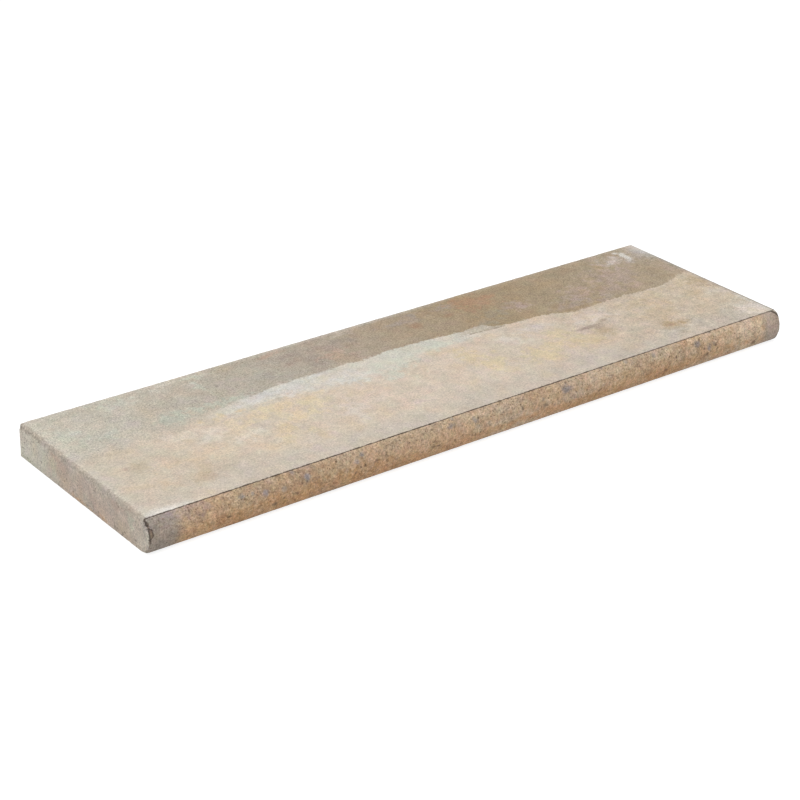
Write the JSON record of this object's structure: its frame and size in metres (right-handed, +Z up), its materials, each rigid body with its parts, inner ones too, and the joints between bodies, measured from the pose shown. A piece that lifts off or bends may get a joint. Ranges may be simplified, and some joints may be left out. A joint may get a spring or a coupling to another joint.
{
  "type": "pool coping stone",
  "caption": "Long flat coping slab for a pool's edge: square back and ends, lightly rounded top arrises and a bullnose along one long side.",
  "frame": {"origin": "middle of the slab's footprint, on the bed", "axes": "+X along the pool's edge, -Y out over the water towards the nose, +Z up out of the walking face"},
  "size_m": [1, 0.3, 0.045],
  "materials": {
    "cast_concrete": "matt cast face, mottled cream and grey-brown"
  },
  "bodies": {
    "root": {"coping_stone": "cast_concrete"}
  },
  "joints": []
}
